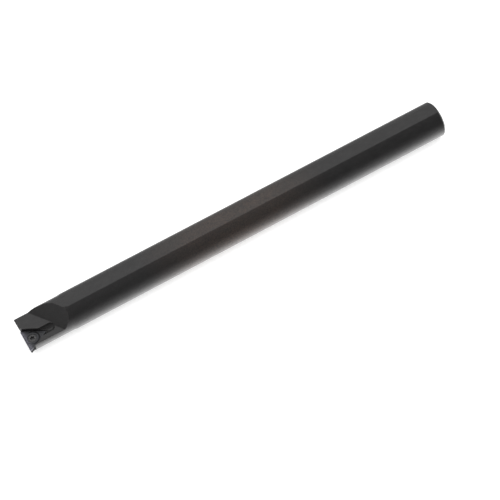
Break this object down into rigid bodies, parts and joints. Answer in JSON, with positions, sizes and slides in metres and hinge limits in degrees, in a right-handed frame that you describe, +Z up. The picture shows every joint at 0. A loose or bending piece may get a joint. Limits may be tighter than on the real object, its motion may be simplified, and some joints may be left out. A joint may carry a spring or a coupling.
{
  "type": "boring bar",
  "caption": "Round steel boring bar with clamping flats, a milled head, and a screw-held triangular insert whose corner stands out to one side.",
  "frame": {"origin": "on the shank's axis, at half of the overall length from the rear face to the sharp cutting corner", "axes": "+X along the shank towards the cutting head, +Y towards the side of the cutting corner, +Z up, square to the clamping flats, with the cutting edge at Z = 0"},
  "size_m": [0.2, 0.0165, 0.015],
  "materials": {
    "black_oxide_steel": "satin black oxide",
    "coated_carbide": "fine satin coating",
    "screw_steel": "satin black oxide"
  },
  "bodies": {
    "root": {"bar": "black_oxide_steel", "insert": "coated_carbide", "insert_screw": "screw_steel"}
  },
  "joints": []
}
